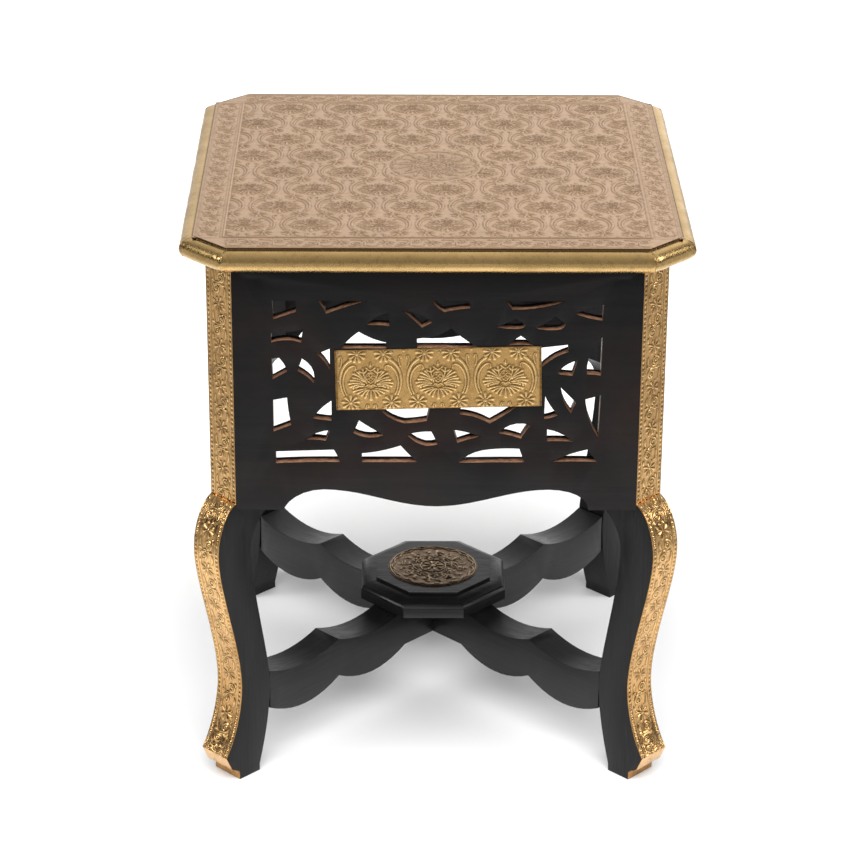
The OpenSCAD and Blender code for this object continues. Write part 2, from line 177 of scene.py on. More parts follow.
def plain_brass():
    """Smooth hand-rubbed sheet of the edge moulding: long scratches, dull patches."""
    f = Finish("edge_brass")
    patch = f.noise(30.0, 5.0)
    fine = f.noise(260.0, 4.0)
    scratch = f.noise(900.0, 2.0, (1.0, 1.0, 4.0))
    tone = f.mix(f.span(patch, 0.4, 0.7, 0.0, 0.8), rgb(0.68, 0.45, 0.185), rgb(0.52, 0.34, 0.13))
    tone = f.mix(f.span(fine, 0.55, 0.72, 0.0, 0.45), tone, rgb(0.34, 0.21, 0.09))
    # painted shade: the drop wall next to the top sheet is darkened to stand for the shadow in the gap
    # there
    tone = f.mix(f.attribute("painted_gap_shade"), tone, rgb(0.10, 0.052, 0.016))
    shine = f.math("ADD", f.span(patch, 0.35, 0.7, 0.17, 0.3), f.span(scratch, 0.4, 0.7, 0.0, 0.12))
    normal = f.bump(scratch, 0.00002)
    normal = f.bump(patch, 0.0006, 0.6, normal)
    return f.finish(tone, shine, 1.0, normal)


def black_paint(name, grain_scale, undertone=0.0, raw=None, gloss=0.2, turn=0.0, worn=0.0):
    """Thin satin black over timber. raw(f) says where bare sawn wood shows, from 0 to 1, and
    worn how much the rubbed grain lightens."""
    f = Finish(name)
    grain = f.noise(60.0, 6.0, grain_scale, 0.65, turn)
    pore = f.noise(420.0, 3.0, grain_scale, 0.6, turn)
    cloud = f.noise(14.0, 4.0)
    dust = f.noise(900.0, 2.0)
    tone = f.mix(f.span(grain, 0.35, 0.7), rgb(0.0052, 0.005, 0.0052), rgb(0.0105, 0.01, 0.01))
    tone = f.mix(f.span(cloud, 0.45, 0.75, 0.0, undertone), tone, rgb(0.020, 0.010, 0.008))
    rubbed = f.math("MULTIPLY", f.span(pore, 0.5, 0.72), f.span(cloud, 0.42, 0.62, 0.3, 1.0))
    tone = f.mix(f.math("MULTIPLY", rubbed, worn), tone, rgb(0.055, 0.053, 0.052))
    shine = f.math("ADD", f.span(cloud, 0.3, 0.7, 0.32, 0.44), f.span(pore, 0.4, 0.7, -0.06, 0.1))
    normal = f.bump(pore, 0.00015, 0.8)
    normal = f.bump(grain, 0.0004, 0.7, normal)
    normal = f.bump(dust, 0.00001, 0.5, normal)
    if raw:
        bare = raw(f)
        saw = f.noise(300.0, 4.0, (1.0, 1.0, 6.0))
        wood = f.mix(f.span(saw, 0.35, 0.65), rgb(0.19, 0.092, 0.052), rgb(0.37, 0.205, 0.125))
        tone = f.mix(bare, tone, wood)
        shine = f.math("ADD", shine, f.math("MULTIPLY", bare, 0.3), clamp=True)
    return f.finish(tone, shine, 0.0, normal, Specular_IOR_Level=gloss)


FRET_HALF = 123.2 * MM                              # half width of the pierced field
FRET_LOW = 273.0 * MM                               # height of its lower edge


def in_the_fretwork(across):
    """Where bare wood shows on the sawn walls of a panel's openings: from just behind its face
    down to a ragged line some 6 to 7 mm behind it, black further back."""
    def bare(f):
        split = f.tree.nodes.new("ShaderNodeSeparateXYZ")
        f.tree.links.new(f.place, split.inputs[0])
        along, out = split.outputs[0 if across == "x" else 1], split.outputs[1 if across == "x" else 0]
        ragged = f.span(f.noise(70.0, 4.0), 0.3, 0.7, -1.6 * MM, 1.6 * MM)
        out = f.math("ABSOLUTE", out)
        depth = f.span(out, (FACE - 1.1) * MM, (FACE - 0.6) * MM, 1.0, 0.0)
        inner = f.span(f.math("ADD", out, ragged), (FACE - 7.0) * MM, (FACE - 5.8) * MM)
        width = f.span(f.math("ABSOLUTE", along), FRET_HALF, FRET_HALF + 0.4 * MM, 1.0, 0.0)
        height = f.span(split.outputs[2], FRET_LOW - 0.5 * MM, FRET_LOW)
        return f.math("MULTIPLY", f.math("MULTIPLY", depth, inner), f.math("MULTIPLY", width, height))
    return bare


def raw_timber():
    """Unfinished batten wood."""
    f = Finish("raw_wood")
    ring = f.noise(90.0, 6.0, (6.0, 6.0, 1.0), 0.6)
    fine = f.noise(700.0, 3.0)
    tone = f.mix(f.span(ring, 0.35, 0.65), rgb(0.21, 0.115, 0.06), rgb(0.36, 0.22, 0.125))
    normal = f.bump(fine, 0.0001, 0.6)
    return f.finish(tone, f.span(fine, 0.3, 0.7, 0.6, 0.75), 0.0, normal)


def plain_metal(name, tone_a, tone_b, rough):
    """Spotty metal of tacks and screws, between two tones."""
    f = Finish(name)
    spot = f.noise(900.0, 4.0)
    tone = f.mix(f.span(spot, 0.4, 0.65), rgb(*tone_a), rgb(*tone_b))
    normal = f.bump(spot, 0.00005, 0.6)
    return f.finish(tone, f.span(spot, 0.35, 0.65, rough, rough + 0.15), 1.0, normal)


# ---- Pressed patterns ------------------------------------------------------

CELL = 0.1                                          # spacing of a die's samples


def smooth(t):
    t = np.clip(t, 0.0, 1.0)
    return t * t * (3 - 2 * t)


def bezier(points, n):
    """n + 1 points along the curve held by three or four control points."""
    t = np.linspace(0.0, 1.0, n + 1)[:, None]
    rows = [np.array([point], float) for point in points]
    while len(rows) > 1:
        rows = [a * (1 - t) + b * t for a, b in zip(rows[:-1], rows[1:])]
    return rows[0]


def blurred(h, cells, wrap):
    """h averaged over a square of that many cells each way."""
    mode = "wrap" if wrap else "edge"
    for axis in (0, 1):
        pad = [(0, 0), (0, 0)]
        pad[axis] = (cells + 1, cells)
        total = np.cumsum(np.pad(h, pad, mode=mode), axis=axis)
        size = 2 * cells + 1
        first, last = (total[:-size], total[size:]) if axis == 0 else (total[:, :-size], total[:, size:])
        h = (last - first) / size
    return h


class Die:
    """One repeat of a pressed pattern, cut stroke by stroke into a fine grid of heights."""

    def __init__(self, width, height, repeats=True):
        self.x = (np.arange(round(width / CELL)) + 0.5) * CELL - width / 2
        self.y = (np.arange(round(height / CELL)) + 0.5) * CELL - height / 2
        self.relief = np.zeros((len(self.x), len(self.y)))
        self.repeats = repeats

    def window(self, low, high):
        """The part of the grid between two corners, and its coordinates."""
        i0, i1 = np.searchsorted(self.x, (low[0], high[0]))
        j0, j1 = np.searchsorted(self.y, (low[1], high[1]))
        x, y = np.meshgrid(self.x[i0:i1], self.y[j0:j1], indexing="ij")
        return self.relief[i0:i1, j0:j1], x, y

    def stroke(self, points, start, end=None, top=1.0, belly=0.0):
        """A raised line; its half width goes from start to end, and belly swells its middle."""
        points = np.array(points, float)
        end = start if end is None else end
        n = len(points) - 1
        for k in range(n):
            a, step = points[k], points[k + 1] - points[k]
            reach = max(start, end) + belly + 0.2
            low, high = np.minimum(a, points[k + 1]) - reach, np.maximum(a, points[k + 1]) + reach
            grid, x, y = self.window(low, high)
            t = ((x - a[0]) * step[0] + (y - a[1]) * step[1]) / max(step @ step, 1e-9)
            t = np.clip(t, 0.0, 1.0)
            gap = np.hypot(x - a[0] - t * step[0], y - a[1] - t * step[1])
            along = (k + t) / n
            half = start + (end - start) * along + belly * np.sin(np.pi * along)
            np.maximum(grid, top * smooth(1.25 * (1 - gap / half)), out=grid)

    def leaf(self, base, bend, tip, start, end, top=1.0, belly=0.0):
        """One finger of a leaf, curving from base to tip."""
        self.stroke(bezier((base, bend, tip), 7), start, end, top, belly)

    def boss(self, cx, cy, radius, top=1.0):
        grid, x, y = self.window((cx - radius, cy - radius), (cx + radius, cy + radius))
        far = ((x - cx) ** 2 + (y - cy) ** 2) / radius ** 2
        np.maximum(grid, top * np.sqrt(np.clip(1 - far, 0.0, 1.0)), out=grid)

    def flower(self, cx, cy, petals, inner, outer, width, turn=0.0, top=0.9, short=1.0):
        """Petals around a boss; every other one may be shorter."""
        self.boss(cx, cy, 0.85 * inner, top)
        for k in range(petals):
            a = math.radians(turn + 360 * k / petals)
            far = outer * (short if k % 2 else 1.0)
            ray = np.array((math.cos(a), math.sin(a)))
            self.stroke([np.array((cx, cy)) + ray * inner, np.array((cx, cy)) + ray * far],
                        0.35 * width, width, top)

    def scroll(self, cx, cy, radius, turn, hand, half, squash=1.0, top=0.95):
        """A spiral that winds in from radius to its eye."""
        a = np.linspace(0.0, 1.45 * 2 * math.pi, 30)
        r = radius * (1 - 0.75 * a / a[-1])
        base = math.radians(turn)
        self.stroke(np.stack([cx + r * np.cos(base + hand * a),
                              cy + squash * r * np.sin(base + hand * a)], 1), half, 0.8 * half, top)
        self.boss(cx, cy, 0.22 * radius, top)

    def finish(self, deep=1.0):
        """Rounds the relief and finds the hollows beside and between its raised parts."""
        self.relief = blurred(self.relief, 1, self.repeats)
        near = blurred(self.relief, 5, self.repeats)
        wide = blurred(self.relief, 15, self.repeats)
        low = np.clip(1 - 1.3 * self.relief, 0.0, 1.0)
        self.hollow = np.clip((2.6 * (near - self.relief) + 0.9 * wide * low) * deep, 0.0, 1.0)
        return self

    def at(self, u, v):
        """(relief, hollow) at points u, v, the pattern's middle being at 0, 0."""
        nx, ny = self.relief.shape
        i, j = (u - self.x[0]) / CELL, (v - self.y[0]) / CELL
        i0, j0 = np.floor(i).astype(int), np.floor(j).astype(int)
        fi, fj = i - i0, j - j0
        i0, j0, i1, j1 = i0 % nx, j0 % ny, (i0 + 1) % nx, (j0 + 1) % ny
        return tuple(g[i0, j0] * (1 - fi) * (1 - fj) + g[i1, j0] * fi * (1 - fj)
                     + g[i0, j1] * (1 - fi) * fj + g[i1, j1] * fi * fj
                     for g in (self.relief, self.hollow))


LOTUS_PITCH = 50.0                                  # from one lotus to the next in a row
LOTUS_ROW = 39.0                                    # from one row to the next
# The right half of a lotus from its foot: base, bend, tip, half width at base and at tip.
LOTUS_LEAVES = (
    ((4.6, 3.5), (9.5, 7.4), (14.4, 6.9), 0.5, 1.2), ((4.8, 3.3), (10.0, 5.3), (15.8, 4.3), 0.5, 1.3),
    ((4.6, 3.0), (11.0, 3.7), (14.9, 1.7), 0.5, 1.15), ((11.6, 2.8), (13.2, 1.6), (12.9, 0.3), 0.5, 0.9),
    ((3.8, 1.5), (8.0, 2.7), (11.0, 1.0), 0.5, 0.9), ((3.0, 0.1), (8.0, -0.5), (12.6, -1.9), 0.5, 1.1),
    ((1.8, -0.8), (6.2, -1.5), (9.6, -3.6), 0.5, 1.0), ((1.5, -1.0), (4.8, -2.0), (6.8, -5.3), 0.5, 1.0),
    ((1.0, -1.2), (3.2, -3.0), (4.1, -7.2), 0.5, 0.95),
    ((4.6, 5.4), (8.8, 8.4), (13.0, 9.0), 0.5, 1.05), ((4.6, 5.8), (8.2, 10.2), (12.4, 12.2), 0.5, 1.05),
    ((4.4, 6.2), (7.4, 11.2), (9.6, 13.4), 0.5, 0.9), ((3.1, 4.2), (4.4, 8.0), (5.2, 12.0), 0.55, 0.6),
    ((5.3, 12.2), (5.4, 14.2), (5.6, 15.9), 0.6, 0.85), ((5.2, 12.6), (3.9, 13.1), (3.0, 14.5), 0.55, 0.7),
    ((5.4, 12.6), (7.0, 12.9), (8.3, 14.1), 0.6, 0.8), ((0.0, 14.2), (1.8, 14.9), (3.1, 16.7), 0.55, 0.75),
    ((0.4, 2.1), (1.7, 4.0), (3.1, 2.3), 0.5, 0.5), ((0.0, 4.2), (2.6, 5.6), (3.7, 9.2), 0.4, 0.45),
    ((3.7, 9.2), (3.2, 12.0), (0.0, 13.4), 0.45, 0.4))


def cut_lotus():
    """Lotuses in half-dropped rows, each with two daisies above it and brackets beside it."""
    die = Die(LOTUS_PITCH, 2 * LOTUS_ROW)
    for base, bend, tip, start, end in LOTUS_LEAVES:
        die.leaf(base, bend, tip, 1.15 * start, 1.3 * end)
    outer = bezier(((14.2, 23.2), (21.6, 19.8), (25.6, 6.0), (19.9, -5.2)), 22)
    inner = bezier(((13.0, 18.4), (18.8, 17.4), (23.4, 6.0), (18.2, -4.8)), 22)
    die.stroke(outer, 1.5, 0.9, 0.95)
    die.stroke(inner, 1.1, 0.8, 0.9)
    die.leaf((13.2, 18.6), (10.5, 18.6), (10.9, 15.3), 0.8, 0.6, 0.9)
    die.leaf((13.6, 22.4), (16.0, 21.6), (18.4, 19.2), 0.6, 0.9, 0.9)
    die.leaf((21.8, 25.8), (20.2, 22.4), (22.3, 17.2), 0.7, 0.6, 0.9)
    die.leaf((21.8, 25.8), (23.4, 26.2), (22.7, 23.8), 0.6, 0.7, 0.9)
    die.flower(9.8, 27.4, 9, 1.7, 5.8, 1.6, 10)
    half = len(die.x) // 2
    die.relief[:half] = np.maximum(die.relief[:half], die.relief[half:][::-1])
    die.relief[half:] = die.relief[:half][::-1]
    die.stroke(((0, -1.4), (0, -8.8)), 0.6, 1.6)
    die.stroke(((0, 18.3), (0, 21.2)), 1.0, 0.4)
    for cx, cy in ((0, 12.0), (-1.6, 10.2), (1.6, 10.2), (0, 8.7), (-2.0, 7.6), (2.0, 7.6), (0, 6.2)):
        die.leaf((cx - 1.1, cy - 0.6), (cx, cy + 1.3), (cx + 1.1, cy - 0.6), 0.42, 0.42, 0.9)
    nx, ny = die.relief.shape
    die.relief = np.maximum(die.relief, np.roll(die.relief, (nx // 2, ny // 2), (0, 1)))
    return die.finish()


VINE_PITCH = 33.3                                   # from one flower to the next along a strip
VINE_HALF = 8.8                                     # half width of the vine


def cut_vine():
    """Across, then along: a flower of eight petals, then two scrolls and their leaves."""
    die = Die(2 * VINE_HALF, VINE_PITCH)
    die.flower(0, 0, 8, 1.5, 6.0, 1.5, 22, short=0.86)
    die.scroll(2.5, 12.0, 3.6, 0, -1, 1.0, 1.15)
    die.scroll(-2.5, -12.0, 3.6, 180, -1, 1.0, 1.0)
    die.stroke(bezier(((5.9, 12.0), (5.9, 16.6), (-0.5, 15.2), (-3.0, 16.6)), 12), 1.0, 0.9)
    die.stroke(bezier(((-5.9, -12.0), (-5.9, -16.6), (0.5, -15.2), (3.0, -16.6)), 12), 1.0, 0.9)
    for base, bend, tip in (((-5.8, 7.0), (-7.4, 10.5), (-4.8, 14.4)),
                            ((6.6, -14.2), (7.9, -10.0), (5.2, -5.8)),
                            ((6.4, 6.2), (7.8, 7.6), (7.0, 9.6)),
                            ((-6.8, -4.4), (-8.0, -6.0), (-6.6, -8.2)),
                            ((1.6, -16.0), (4.2, -15.2), (6.6, -16.2)),
                            ((-7.6, 15.8), (-6.2, 14.6), (-4.6, 15.6))):
        die.leaf(base, bend, tip, 0.45, 0.5, 0.95, 1.05)
    return die.finish()


def cut_medal(radius):
    """A round stamp: a rosette, a ring of small ones, and scalloped rings out to its edge."""
    die = Die(2 * radius + 4, 2 * radius + 4, repeats=False)
    turns = np.linspace(0, 2 * math.pi, 181)

    def around(r, wave=0.0, count=0, half=0.8):
        r = r + wave * np.abs(np.sin(count / 2 * turns))
        die.stroke(np.stack([r * np.cos(turns), r * np.sin(turns)], 1), half, half, 0.85)

    around(radius - 1.6)
    around(0.85 * radius, 2.6, 17, 1.0)
    around(0.27 * radius, 0.8, 9, 0.9)
    die.flower(0, 0, 8, 0.08 * radius, 0.2 * radius, 1.9, 12)
    for k in range(8):
        a = 2 * math.pi * (k + 0.2) / 8
        c, s = math.cos(a), math.sin(a)
        die.flower(0.44 * radius * c, 0.44 * radius * s, 7, 1.3, 3.9, 1.5, 50 * k)
        c, s = math.cos(a + 0.4), math.sin(a + 0.4)
        die.scroll(0.62 * radius * c, 0.62 * radius * s, 3.6, 70 * k, (-1) ** k, 0.9)
        die.leaf((0.45 * radius * c, 0.45 * radius * s),
                 (0.6 * radius * c - 2 * s, 0.6 * radius * s + 2 * c),
                 (0.78 * radius * c - 3 * s, 0.78 * radius * s + 3 * c), 0.6, 0.7, 0.9, 0.8)
        c, s = math.cos(a), math.sin(a)
        die.leaf((0.6 * radius * c, 0.6 * radius * s),
                 (0.68 * radius * c + 2 * s, 0.68 * radius * s - 2 * c),
                 (0.76 * radius * c - 2 * s, 0.76 * radius * s + 2 * c), 0.6, 0.7, 0.9, 1.0)
    return die.finish(1.3)


lotus_die = cut_lotus()
vine_die = cut_vine()
medal_die = cut_medal(37.0)


def flattened(relief, hollow, keep):
    """The pattern faded out where keep falls to 0."""
    return relief * keep, hollow * keep


def rule(gap, half):
    """A raised line where gap is 0."""
    return smooth(1.2 * (1 - np.abs(gap) / half))


BEAD_PITCH = 3.7


def strip_pattern(across, along, half):
    """Beads between two lines along both edges of a strip, and the vine between them."""
    relief, hollow = vine_die.at(across, along)
    relief, hollow = flattened(relief, hollow, smooth((VINE_HALF + 0.3 - np.abs(across)) / 0.4))
    edge = half - np.abs(across)
    beat = (along % BEAD_PITCH) / BEAD_PITCH - 0.5
    bead = np.sqrt(np.clip(1 - (beat * 2.4) ** 2 - ((edge - 2.3) / 1.15) ** 2, 0.0, 1.0))
    border = np.maximum(np.maximum(rule(edge - 4.2, 0.7), 0.9 * bead), 0.6 * rule(edge - 0.5, 0.6))
    between = (edge < 4.0) * np.clip(1 - 1.6 * border, 0.0, 1.0) * 0.42
    beside = 0.45 * rule(edge - 5.2, 0.5)
    return np.maximum(relief, border), np.maximum(np.maximum(hollow, between), beside)


# ---- Mesh helpers ----------------------------------------------------------

def to_object(bm, name, material, node_names, sharp=None, smooth=True):
    """Finishes a bmesh in millimetres as a piece of the root body that stands for CAD nodes."""
    bmesh.ops.recalc_face_normals(bm, faces=bm.faces)
    for face in bm.faces:
        face.smooth = face.smooth or smooth
    mesh = bpy.data.meshes.new(name)
    bm.to_mesh(mesh)
    bm.free()
    return mesh_object(mesh, name, material, node_names, sharp)


def mesh_object(mesh, name, material, node_names, sharp=None):
    """A mesh in millimetres as a piece of the root body that stands for CAD nodes."""
    mesh.transform(Matrix.Scale(MM, 4))
    mesh.materials.clear()
    mesh.materials.append(material)
    if sharp:
        mesh.set_sharp_from_angle(angle=math.radians(sharp))
    piece = bpy.data.objects.new(name, mesh)
    bpy.context.scene.collection.objects.link(piece)
    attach(piece, "root")
    if node_names:
        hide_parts(*node_names)
    return piece


def close_under(bm, under):
    """Closes a long sheet's underside, rung by rung from one side to the other."""
    rungs = {}
    for v in under:
        rungs.setdefault(round(v.co.y, 3), []).append(v)
    rungs = [sorted(rungs[y], key=lambda v: v.co.x) for y in sorted(rungs)]
    for near, far in zip(rungs[:-1], rungs[1:]):
        bm.faces.new(near + far[::-1])


def corner_rows(mesh):
    """The places of a mesh's corners, as rows of x, y, z."""
    co = np.empty(3 * len(mesh.vertices))
    mesh.vertices.foreach_get("co", co)
    return co.reshape(-1, 3)


def press(mesh, places, relief, hollow):
    """Moves a mesh's corners to their places and keeps the relief and hollows for its brass."""
    mesh.vertices.foreach_set("co", places.ravel())
    for key, values in (("relief", relief), ("hollow", hollow)):
        mesh.attributes.new(key, "FLOAT", "POINT").data.foreach_set("value", values)
    mesh.update()


def pressed_sheet(name, low, high, step, pattern, depth, thickness, wrap, material, node_names,
                  cuts=()):
    """A closed sheet from low to high in u and v, its face pressed by a pattern.

    pattern(u, v) gives relief and hollow; wrap(u, v, h) takes a point h above the sheet's
    ground to its place. cuts are (point, outward normal) lines that trim the sheet.
    """
    bm = bmesh.new()
    size = np.array(high) - np.array(low)
    count = [max(1, round(s / step)) for s in size]
    bmesh.ops.create_grid(bm, x_segments=count[0], y_segments=count[1], size=0.5)
    middle = (np.array(high) + np.array(low)) / 2
    bmesh.ops.transform(bm, verts=bm.verts, matrix=Matrix.Translation((*middle, 0))
                        @ Matrix.Diagonal((size[0], size[1], 1, 1)))
    for point, normal in cuts:
        bmesh.ops.bisect_plane(bm, geom=bm.verts[:] + bm.edges[:] + bm.faces[:], dist=1e-4,
                               plane_co=(*point, 0), plane_no=(*normal, 0), clear_outer=True)
    rim = [e for e in bm.edges if e.is_boundary]
    skirt = bmesh.ops.extrude_edge_only(bm, edges=rim)["geom"]
    under = [v for v in skirt if isinstance(v, bmesh.types.BMVert)]
    bmesh.ops.translate(bm, verts=under, vec=(0, 0, -thickness))
    if cuts:
        bmesh.ops.edgeloop_fill(bm, edges=[e for e in bm.edges if e.is_boundary])
    else:
        close_under(bm, under)
    mesh = bpy.data.meshes.new(name)
    bmesh.ops.recalc_face_normals(bm, faces=bm.faces)
    for face in bm.faces:
        face.smooth = True
    bm.to_mesh(mesh)
    bm.free()
    co = corner_rows(mesh)
    on_face = co[:, 2] > -thickness / 2
    relief, hollow = pattern(co[:, 0], co[:, 1])
    relief, hollow = np.where(on_face, relief, 0.0), np.where(on_face, hollow, 0.6)
    press(mesh, wrap(co[:, 0], co[:, 1], co[:, 2] + depth * relief), relief, hollow)
    return mesh_object(mesh, name, material, node_names, 70)


def turned(points, degrees):
    """Rows of x, y, z turned about the vertical axis."""
    c, s = math.cos(math.radians(degrees)), math.sin(math.radians(degrees))
    x, y, z = points[:, 0], points[:, 1], points[:, 2]
    return np.stack([x * c - y * s, x * s + y * c, z], 1)


def soft_copy(node, material, width):
    """The CAD node's own shape with its sharp edges eased, standing for it."""
    bm = bmesh.new()
    bm.from_mesh(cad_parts[node].data)
    bmesh.ops.transform(bm, verts=bm.verts, matrix=Matrix.Scale(1 / MM, 4))
    bmesh.ops.remove_doubles(bm, verts=bm.verts, dist=1e-3)
    bmesh.ops.dissolve_limit(bm, angle_limit=math.radians(0.5), verts=bm.verts, edges=bm.edges)
    edges = [e for e in bm.edges if len(e.link_faces) == 2
             and e.calc_face_angle(0.0) > math.radians(32)]
    bmesh.ops.bevel(bm, geom=edges, offset=width, segments=2, profile=0.5, affect="EDGES",
                    clamp_overlap=True, material=-1)
    for face in bm.faces:
        level = max(abs(c) for c in face.normal) > 0.9999
        face.smooth = len(face.verts) <= 4 and not level
    bmesh.ops.triangulate(bm, faces=[f for f in bm.faces if len(f.verts) > 4])
    return to_object(bm, node + "_wood", material, [node], 25, smooth=False)


# ---- Brass materials and wood ----------------------------------------------

top_brass = pressed_brass("top_brass", (0.64, 0.425, 0.265), (0.65, 0.435, 0.272),
                          (0.30, 0.185, 0.10), 0.34, 0.62, cloudy=0.3)
strip_brass = pressed_brass("strip_brass", (1.0, 0.69, 0.30), (0.80, 0.485, 0.205),
                            (0.24, 0.12, 0.036), 0.2, 1.0, 0.00007, 0.6, shade_below=0.2)
plate_brass = pressed_brass("plate_brass", (0.96, 0.64, 0.28), (0.77, 0.47, 0.175),
                            (0.22, 0.12, 0.036), 0.25)
medal_brass = pressed_brass("medal_brass", (0.70, 0.49, 0.28), (0.38, 0.255, 0.15),
                            (0.04, 0.026, 0.018), 0.3, 1.0, 0.0001, 0.7)
edge_brass = plain_brass()
tack_metal = plain_metal("tack_metal", (0.56, 0.42, 0.27), (0.33, 0.24, 0.16), 0.38)
screw_metal = plain_metal("screw_metal", (0.55, 0.54, 0.53), (0.35, 0.33, 0.32), 0.35)
filler = black_paint("nail_filler", (1.0, 1.0, 1.0))
upright_black = black_paint("upright_black", (1.0, 1.0, 16.0), worn=0.25)
level_black = black_paint("level_black", (8.0, 1.0, 1.0), gloss=0.4)
arm_black = {node: black_paint(node + "_black", (18.0, 1.0, 1.0), gloss=0.34, turn=turn, worn=0.22)
             for node, turn in (("stretcher_under", -45), ("stretcher_over", 45))}
panel_black = {across: black_paint("panel_black_" + across, (20.0, 20.0, 1.0), 0.7,
                                   in_the_fretwork(across)) for across in "xy"}
bare_wood = raw_timber()


# ---- Wooden pieces ---------------------------------------------------------

def make_wood():
    for k, side in enumerate(SIDES):
        soft_copy("panel_" + side, panel_black["xy"[k % 2]], 0.3)
    for corner in CORNERS:
        soft_copy("leg_" + corner, upright_black, 0.5)
    for node, black in arm_black.items():
        soft_copy(node, black, 0.6)
    soft_copy("plinth", level_black, 0.5)
    for side in SIDES:
        soft_copy("cleat_" + side, bare_wood, 0.6)
    paint("top_board", level_black)
    paint("panel_nails", filler)
    for node in ("plinth_screws", "cleat_screws", "leg_screws"):
        paint(node, screw_metal)


def paint(node, material):
    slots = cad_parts[node].material_slots
    for slot in slots:
        slot.material = material


# ---- Embossed top ----------------------------------------------------------

FIELD = 158.0                                       # middle to the line around the field
BAND_END = 157.0                                    # where the band's vine stops
TOP_LOTUS = (-18.0, -97.3)                          # foot of one lotus on the top
TOP_DEPTH = 0.5
MEDAL_IN_TOP = 35.5


def top_field(u, v):
    """Lotuses inside a raised line, with the round stamp in the middle."""
    relief, hollow = lotus_die.at(u - TOP_LOTUS[0], v - TOP_LOTUS[1])
    far = np.hypot(u + 1, v - 1)
    keep = smooth((far - MEDAL_IN_TOP) / 2)
    relief, hollow = flattened(relief, hollow, keep)
    stamp, pit = medal_die.at(u + 1, v - 1)
    inside = smooth((MEDAL_IN_TOP + 0.5 - far) / 2)
    relief, hollow = relief + 0.6 * stamp * inside, hollow + (0.16 + 0.9 * pit) * inside
    edge = FIELD - np.maximum(np.abs(u), np.abs(v))
    relief, hollow = flattened(relief, hollow, smooth((edge - 1.5) / 1.5))
    line = 0.9 * rule(edge - 0.9, 0.9)
    return np.maximum(relief, line), np.maximum(hollow, 0.5 * rule(edge - 2.2, 0.8))


def top_band(across, along):
    """A band of the top: across from the field's line to the edge, along the side."""
    relief, hollow = vine_die.at((across - 10.2) * 1.1, along + 4)
    end = smooth((BAND_END - np.abs(along)) / 3)
    inside = (np.abs(across - 10.2) < 8.0) * end
    relief, hollow = flattened(relief, hollow, inside)
    for spot in (1.2, 19.0, 21.0):
        rail = 0.6 * rule(across - spot, 0.6) * (end if spot < 5 else 1.0)
        relief = np.maximum(relief, rail)
        hollow = np.maximum(hollow, 0.35 * rule(across - spot, 1.6) * (1 - rail))
    return relief * 0.8, hollow


def make_top():
    ground = TOP_Z - TOP_DEPTH

    def place(u, v, h):
        return np.stack([u, v, ground + h], 1)

    thin = SHEET - TOP_DEPTH
    for name, sx, sy in (("fr", 1, -1), ("br", 1, 1), ("bl", -1, 1), ("fl", -1, -1)):
        low = (min(0, sx * FIELD), min(0, sy * FIELD))
        high = (max(0, sx * FIELD), max(0, sy * FIELD))
        pressed_sheet("top_field_" + name, low, high, 0.7, top_field, TOP_DEPTH, thin, place,
                      top_brass, ["top_sheet"])
    cut_normal = np.array((1, 1)) / math.sqrt(2)
    for k, side in enumerate(SIDES):
        half = FLAT if k % 2 == 0 else FIELD
        spin = 90 * k

        def wrap(u, v, h, spin=spin):
            return turned(np.stack([v, -FIELD - u, ground + h], 1), spin)

        cuts = []
        if k % 2 == 0:
            for hand in (1, -1):
                point = (FLAT - FIELD, hand * (FLAT - CORNER_CUT))
                cuts.append((point, (cut_normal[0], hand * cut_normal[1])))
        pressed_sheet("top_band_" + side, (0, -half), (FLAT - FIELD, half), 0.6, top_band,
                      TOP_DEPTH, thin, wrap, top_brass, ["top_sheet"], cuts)


# ---- Edge moulding ---------------------------------------------------------

EDGE_R = 8.0
EDGE_DROP = 2.0
EDGE_Z = TOP_Z - EDGE_DROP - EDGE_R
MITRE = math.tan(math.radians(22.5))


def edge_path(t):
    """Out, up and the normal around the moulding: t from 0 at the flat's edge to 1 underneath."""
    reach, arc = EDGE_OUT - EDGE_R, math.pi * EDGE_R
    drop = EDGE_DROP - 0.35
    s = t * (drop + 2 * reach + arc)
    if s < drop:
        return 0.06, TOP_Z - 0.35 - s, 1.0, 0.0
    s -= drop
    a = min(max((s - reach) / EDGE_R, 0.0), math.pi)
    out = s if s < reach else reach + EDGE_R * math.sin(a)
    if s > reach + arc:
        out = 2 * reach + arc - s
    return max(out, 0.06), EDGE_Z + EDGE_R * math.cos(a), math.sin(a), math.cos(a)


def waves(x, y, z, size):
    """Slow uneven swell from -1 to 1, much the same at nearby places."""
    total = 0.0
    for k, (a, b, c) in enumerate(((1.0, 0.7, 1.3), (-0.6, 1.1, 0.8), (1.7, -1.3, -0.9),
                                   (-2.3, -1.9, 1.6), (3.1, 2.7, -2.2))):
        total += np.sin((a * x + b * y + c * z) / size + 1.7 * k) / (1 + 0.5 * k)
    return total / 2.6


